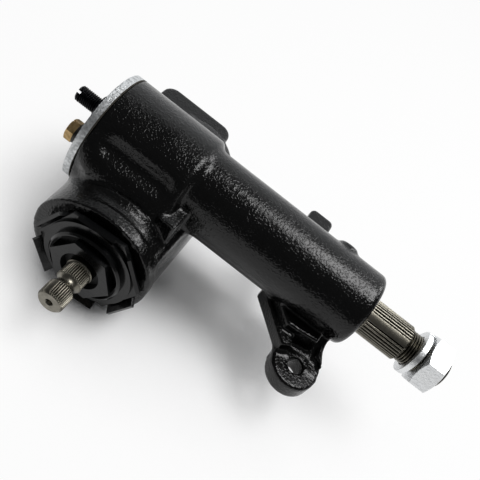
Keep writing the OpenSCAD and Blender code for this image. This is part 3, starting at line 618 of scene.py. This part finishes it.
# each row is a station, its radius and the depth of the teeth there
spline_profile = [(SHAFT_FACE, SPLINE_R + 1.0, 0), (SPLINE_START - 0.6, SPLINE_R, 0),
                  (SPLINE_START, SPLINE_R, 0), (SPLINE_START + 1.2, SPLINE_R, 1.0),
                  (SPLINE_STOP - 1.4, SPLINE_R, 1.0), (SPLINE_STOP - 0.2, THREAD_R + 0.25, 0),
                  (SPLINE_STOP, THREAD_R - 0.4, 0)]
stations = [s for s, r, d in spline_profile]
radii = np.array([r - d * spline for s, r, d in spline_profile])
sector_form = kept_side("sector_shaft", (SHAFT_FACE, 0, 0), (1, 0, 0))
add_turned(sector_form, AIM_SECTOR, (0, 0, 0), stations, radii, root=SPLINE_R - 0.5)


def add_thread(form, aim, start, stop, radius, pitch, taper):
    """Adds a rolled vee thread between two stations, with its last turns run out to a taper."""
    around, per_pitch = 72, 8
    depth = 0.56 * pitch
    stations = np.linspace(start, stop, int((stop - start) / pitch * per_pitch) + 1)
    turn = np.arange(around) / around
    phase = (stations[:, None] / pitch - turn[None, :]) % 1
    cut = np.clip(np.abs(phase - 0.5) * 2.6 - 0.15, 0, 1)
    limit = radius - np.clip(taper - (stop - stations), 0, taper)[:, None]
    add_turned(form, aim, (0, 0, 0), stations, np.minimum(radius - depth * cut, limit),
               root=radius - 0.6 * depth)


add_thread(sector_form, AIM_SECTOR, SPLINE_STOP, SHAFT_TIP, THREAD_R, THREAD_PITCH, taper=1.2)
sector_piece = form_piece(sector_form, "sector_and_pitman_end", "sector")
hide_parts("sector_shaft")
sector_piece.data.materials.append(turned_steel)
# the second finish paints shade into the roots of the serrations and the thread
sector_piece.data.materials.append(root_painted_shade)

# Sintered bronze, pressed from powder and soaked in oil: brown-gold, satin and finely specked.
bronze = steel_finish("sintered_bronze", "#8a5a2c", "#b98048", 0.9, 0.35, 0.55)
dress(bronze, "sector_bush_inner", "sector_bush_outer", "cover_bush")


# Side cover and gasket
# A die-cast plate over the head with the short bush inside. Its rim shows bare, with a flat trimmed
# on one side, above a fibre gasket.

# Die-cast alloy as it leaves the die: pale grey with darker clouds, and a gritty, glittering skin.
SKIN_GRAIN, CLOUD, GRIT_RISE = 0.9, 1.8, 0.4
cast_alloy, tree, shader, place = start_finish("die_cast_alloy", metallic=1.0)
skin_grain = add_node(tree, "ShaderNodeTexNoise", {"Vector": place, "Scale": METRE / SKIN_GRAIN,
                                                   "Detail": 3.0})
cloud = add_node(tree, "ShaderNodeTexNoise", {"Vector": place, "Scale": METRE / CLOUD,
                                              "Detail": 4.0})
tone = add_node(tree, "ShaderNodeValToRGB", {"Fac": cloud.outputs["Fac"]})
dark, pale = tone.color_ramp.elements
dark.position, pale.position = 0.34, 0.62
dark.color, pale.color = linear("#adafb0"), linear("#e0e2e3")
rough = add_node(tree, "ShaderNodeMapRange", {"Value": skin_grain.outputs["Fac"], "To Min": 0.32,
                                              "To Max": 0.6})
grit = add_node(tree, "ShaderNodeBump", {"Height": skin_grain.outputs["Fac"],
                                         "Distance": GRIT_RISE * MM, "Strength": 0.9})
tree.links.new(tone.outputs["Color"], shader.inputs["Base Color"])
tree.links.new(rough.outputs["Result"], shader.inputs["Roughness"])
tree.links.new(grit.outputs["Normal"], shader.inputs["Normal"])
dress(cast_alloy, "side_cover")

# Pressed gasket fibre: dark brown, dull, flecked with its fibres.
FLECK = 0.7
fibre, tree, shader, place = start_finish("pressed_gasket_fibre", roughness=0.85)
fleck = add_node(tree, "ShaderNodeTexNoise", {"Vector": place, "Scale": METRE / FLECK,
                                              "Detail": 4.0})
tone = add_node(tree, "ShaderNodeMix", {"Factor": fleck.outputs["Fac"], "A": linear("#26231f"),
                                        "B": linear("#454037")}, data_type="RGBA")
tree.links.new(tone.outputs[2], shader.inputs["Base Color"])
dress(fibre, "cover_gasket")


# Cover bolts and spring washers
# Three slotted hexagon bolts with yellow zinc passivation over dark spring washers, which clamp the
# cover to the head.

# Yellow passivated zinc: a hazy straw gold that goes brown in patches.
HAZE = 2.5
yellow_zinc, tree, shader, place = start_finish("yellow_passivated_zinc", metallic=1.0)
haze = add_node(tree, "ShaderNodeTexNoise", {"Vector": place, "Scale": METRE / HAZE, "Detail": 4.0})
tone = add_node(tree, "ShaderNodeValToRGB", {"Fac": haze.outputs["Fac"]})
brown, straw = tone.color_ramp.elements
brown.position, straw.position = 0.3, 0.7
brown.color, straw.color = linear("#85704b"), linear("#bb9f73")
rough = add_node(tree, "ShaderNodeMapRange", {"Value": haze.outputs["Fac"], "To Min": 0.28,
                                              "To Max": 0.5})
tree.links.new(tone.outputs["Color"], shader.inputs["Base Color"])
tree.links.new(rough.outputs["Result"], shader.inputs["Roughness"])
dress(yellow_zinc, "cover_bolts")
ease_edges(nodes["cover_bolts"], 0.3)
# Blued spring steel: nearly black, with a dull satin gloss.
spring_steel = steel_finish("blued_spring_steel", "#2c2b29", "#4d4b47", 1.2, 0.35, 0.55)
dress(spring_steel, "cover_washers")
ease_edges(nodes["cover_washers"], 0.2)


# Lash screw, shim and jam nut
# The screw's head sits in the sector shaft's tee slot over a shim. Its black-oxide stud passes
# through the cover, where a jam nut holds it, and ends in a screwdriver slot.

STUD_FACE, STUD_TIP = 51.2, 72.1
# the pitch is drawn a little coarser than the real 1.27 mm, so that it shows
STUD_R, STUD_PITCH, STUD_CHAMFER = 5.556, 1.4, 1.0
AIM_STUD = np.array([[0, 0, -1], [0, -1, 0], [-1, 0, 0]], float)
SLOT_DEPTH, SLOT_HALF = 2.6, 0.85
# the slot lies along the photograph's view, so that it shows as a notch in the tip
SLOT_WAY, CHEEK_WAY = np.array([0, -0.69, 0.72]), np.array([0, 0.72, 0.69])
stud_form = kept_side("lash_screw", (-STUD_FACE, 0, 0), (-1, 0, 0))
add_thread(stud_form, AIM_STUD, STUD_FACE, STUD_TIP - SLOT_DEPTH, STUD_R, STUD_PITCH, taper=0)
# the two cheeks of the slot, ring by ring, with their threads
for side in (1, -1):
    rings = []
    for station in np.linspace(STUD_TIP - SLOT_DEPTH, STUD_TIP, 19):
        groove = 0.28 * STUD_PITCH * (1 - math.cos(2 * math.pi * station / STUD_PITCH))
        radius = min(STUD_R - groove, STUD_R - STUD_CHAMFER + STUD_TIP - station)
        first = math.asin(SLOT_HALF / radius)
        spots = [radius * (math.cos(t) * SLOT_WAY + side * math.sin(t) * CHEEK_WAY)
                 - np.array([station, 0, 0]) for t in np.linspace(first, math.pi - first, 25)]
        rings.append([stud_form.verts.new(p) for p in in_metres(spots)])
    for a, b in zip(rings, rings[1:]):
        for i in range(len(a)):
            j = (i + 1) % len(a)
            stud_form.faces.new((a[i], a[j], b[j], b[i]))
    stud_form.faces.new(rings[0])
    stud_form.faces.new(rings[-1])
stud_piece = form_piece(stud_form, "lash_stud", "case")
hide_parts("lash_screw")
# Black oxide on steel: blue-black and satin, on the thread's crests and in its roots alike.
black_oxide = steel_finish("black_oxide_steel", "#161617", "#2e2e30", 0.8, 0.3, 0.5)
stud_piece.data.materials.append(black_oxide)
stud_piece.data.materials.append(black_oxide)
dress(ground_steel, "lash_shim")
dress(black_oxide, "lash_locknut")
ease_edges(nodes["lash_locknut"], 0.25)


# Pitman washer and nut
# A sprung lock washer, still open, and a large hexagon nut, both bright zinc plated. They hold the
# pitman arm on the serrated end.

WASHER_START, WASHER_T, WASHER_IN, WASHER_OUT, WASHER_RISE = 192.2, 4.0, 11.6, 16.1, 1.5
# it hangs a little askew on the thread; the split's place around it is in radians
WASHER_TILT, TILT_OVER, TILT_UP, SPLIT_AT = 0.085, 0.6, 0.8, 1.0
bend = np.radians(np.linspace(6, 354, 97))
rise = WASHER_RISE * (bend / (2 * math.pi) - 0.5)
corners = ((WASHER_IN, 0), (WASHER_OUT, 0), (WASHER_OUT, 1), (WASHER_IN, 1))
washer_points = []
for angle, lift in zip(bend, rise):
    for radius, side in corners:
        over, up = radius * math.cos(angle + SPLIT_AT), radius * math.sin(angle + SPLIT_AT)
        askew = WASHER_TILT * (TILT_OVER * over + TILT_UP * up)
        washer_points.append((WASHER_START + lift + side * WASHER_T + askew, over, up))
washer_faces = [(4 * i + j, 4 * i + (j + 1) % 4, 4 * i + 4 + (j + 1) % 4, 4 * i + 4 + j)
                for i in range(len(bend) - 1) for j in range(4)]
last = 4 * (len(bend) - 1)
washer_faces += [(3, 2, 1, 0), (last, last + 1, last + 2, last + 3)]
washer_piece = new_piece("open_lock_washer", washer_points, washer_faces, "sector")
washer_piece.data.set_sharp_from_angle(angle=math.radians(40))
ease_edges(washer_piece, 0.35, angle=30)
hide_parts("pitman_washer")

# Bright zinc plate on hot-forged steel: near white, satin, a little cloudy and softly dimpled.
ZINC_CLOUD, DIMPLE, DIMPLE_RISE = 4.0, 1.8, 0.3
bright_zinc, tree, shader, place = start_finish("bright_zinc_plate", metallic=1.0)
cloud = add_node(tree, "ShaderNodeTexNoise", {"Vector": place, "Scale": METRE / ZINC_CLOUD,
                                              "Detail": 4.0})
dimple = add_node(tree, "ShaderNodeTexNoise", {"Vector": place, "Scale": METRE / DIMPLE,
                                               "Detail": 2.0})
tone = add_node(tree, "ShaderNodeMix", {"Factor": cloud.outputs["Fac"], "A": linear("#e0e2e4"),
                                        "B": linear("#f6f7f7")}, data_type="RGBA")
rough = add_node(tree, "ShaderNodeMapRange", {"Value": cloud.outputs["Fac"], "To Min": 0.34,
                                              "To Max": 0.56})
ripple = add_node(tree, "ShaderNodeBump", {"Height": dimple.outputs["Fac"],
                                           "Distance": DIMPLE_RISE * MM, "Strength": 0.7})
tree.links.new(tone.outputs[2], shader.inputs["Base Color"])
tree.links.new(rough.outputs["Result"], shader.inputs["Roughness"])
tree.links.new(ripple.outputs["Normal"], shader.inputs["Normal"])
washer_piece.data.materials.append(bright_zinc)
dress(bright_zinc, "pitman_nut")
ease_edges(nodes["pitman_nut"], 0.5)


# Table, light and view
# The gearbox lies on a white table under one wide overhead softbox, with a second one behind it to
# the pitman side. The camera stands where the photograph was taken from. Lengths here are in
# metres.

TABLE_HALF, TABLE_GAP = 4.0, 0.0002
table_form = bmesh.new()
bmesh.ops.create_grid(table_form, x_segments=1, y_segments=1, size=TABLE_HALF)
table_mesh = bpy.data.meshes.new("white_table")
table_form.to_mesh(table_mesh)
table_form.free()
table = bpy.data.objects.new("white_table", table_mesh)
table.location = (0, 0, cad_low.z - TABLE_GAP)
bpy.context.scene.collection.objects.link(table)
table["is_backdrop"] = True
# White card: matt and faintly mottled. To the camera and to gloss it glows plain white where it
# lies open to the sky, which is painted light that lifts the lamps' shadows there; near and under
# the gearbox the glow is held back, which is painted shade.
MOTTLES_PER_METRE, SHADE_REACH = 14.0, 0.16
card, tree, shader, place = start_finish("white_card", roughness=0.7, specular_ior_level=0.2)
mottle = add_node(tree, "ShaderNodeTexNoise", {"Vector": place, "Scale": MOTTLES_PER_METRE,
                                               "Detail": 3.0})
tone = add_node(tree, "ShaderNodeMix", {"Factor": mottle.outputs["Fac"], "A": linear("#f4f4f5"),
                                        "B": linear("#fafafa")}, data_type="RGBA")
tree.links.new(tone.outputs[2], shader.inputs["Base Color"])


def seen_directly(tree):
    """1 for rays from the camera and from gloss or glass, 0 for the light that falls on things."""
    path = add_node(tree, "ShaderNodeLightPath").outputs
    mirrored = add_node(tree, "ShaderNodeMath", {0: path["Is Glossy Ray"],
                                                 1: path["Is Transmission Ray"]},
                        operation="MAXIMUM")
    return add_node(tree, "ShaderNodeMath", {0: mirrored.outputs[0], 1: path["Is Camera Ray"]},
                    operation="MAXIMUM").outputs[0]


# how open the table lies to the sky sets the painted light away from the gearbox and the painted
# shade near it
open_sky = add_node(tree, "ShaderNodeAmbientOcclusion", {"Distance": SHADE_REACH}, samples=8)
painted_light_away = add_node(tree, "ShaderNodeMapRange", {"Value": open_sky.outputs["AO"], "From Min": 0.36,
                                             "From Max": 0.86, "To Min": 0.0, "To Max": 0.92})
share = add_node(tree, "ShaderNodeMath", {0: painted_light_away.outputs["Result"], 1: seen_directly(tree)},
                 operation="MULTIPLY")
painted_white_glow = add_node(tree, "ShaderNodeEmission", {"Strength": 1.0})
laid = add_node(tree, "ShaderNodeMixShader", {0: share.outputs[0], 1: shader.outputs["BSDF"],
                                              2: painted_white_glow.outputs["Emission"]})
tree.links.new(laid.outputs["Shader"], tree.nodes["Material Output"].inputs["Surface"])
table_mesh.materials.append(card)

# The room is dim all round, with a white sheet hung behind the table that gloss and metal show.
world = bpy.data.worlds.new("studio_room")
world.use_nodes = True
tree = world.node_tree
heading = add_node(tree, "ShaderNodeTexCoord").outputs["Generated"]
split = add_node(tree, "ShaderNodeSeparateXYZ", {"Vector": heading})
behind = add_node(tree, "ShaderNodeMapRange", {"Value": split.outputs["Y"], "From Min": 0.35,
                                               "From Max": 0.75, "To Min": 0.0, "To Max": 1.0},
                  interpolation_type="SMOOTHSTEP")
path = add_node(tree, "ShaderNodeLightPath").outputs
hung = add_node(tree, "ShaderNodeMath", {0: behind.outputs["Result"], 1: path["Is Camera Ray"]},
                operation="MAXIMUM")
sheet = add_node(tree, "ShaderNodeMath", {0: hung.outputs[0], 1: seen_directly(tree)},
                 operation="MULTIPLY")
strength = add_node(tree, "ShaderNodeMapRange", {"Value": sheet.outputs[0], "To Min": 0.1,
                                                 "To Max": 1.0})
tree.links.new(strength.outputs["Result"], tree.nodes["Background"].inputs["Strength"])
tree.nodes["Background"].inputs["Color"].default_value = linear("#f6f8fa")
bpy.context.scene.world = world

# each softbox: its name, the way to it from the gearbox, how far, how wide, how high, and its watts
aim_at = Vector((-0.07, 0.04, 0.03))
SOFTBOXES = (("overhead_box", (0.27, 0.17, 0.96), 0.90, 0.46, 0.42, 6.2),
             ("back_box", (0.52, 0.60, 0.60), 1.00, 0.30, 0.28, 2.1))
for name, way, far, wide, high, power in SOFTBOXES:
    lamp = bpy.data.lights.new(name, "AREA")
    lamp.shape = "RECTANGLE"
    lamp.size, lamp.size_y, lamp.energy = wide, high, power
    holder = bpy.data.objects.new(name, lamp)
    direction = Vector(way).normalized()
    holder.location = aim_at + direction * far
    holder.rotation_mode = "QUATERNION"
    holder.rotation_quaternion = (-direction).to_track_quat("-Z", "Y")
    holder.visible_camera = False
    bpy.context.scene.collection.objects.link(holder)

lens = bpy.data.cameras.new("photo_view")
lens.sensor_width = 36.0
lens.lens = 51.635
lens.clip_start, lens.clip_end = 0.01, 20.0
camera = bpy.data.objects.new("photo_view", lens)
camera_at = (-0.082362, -0.266892, 0.347409)
right = Vector((0.78952361, 0.43235212, 0.43557333))
upward = Vector((-0.613489, 0.57547107, 0.54079968))
backward = Vector((-0.01684396, -0.69419356, 0.71959126))
turned_to = Matrix((right, upward, backward)).transposed().to_4x4()
camera.matrix_world = Matrix.Translation(camera_at) @ turned_to
bpy.context.scene.collection.objects.link(camera)
bpy.context.scene.camera = camera
bpy.context.scene.view_settings.view_transform = "Standard"

low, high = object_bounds()
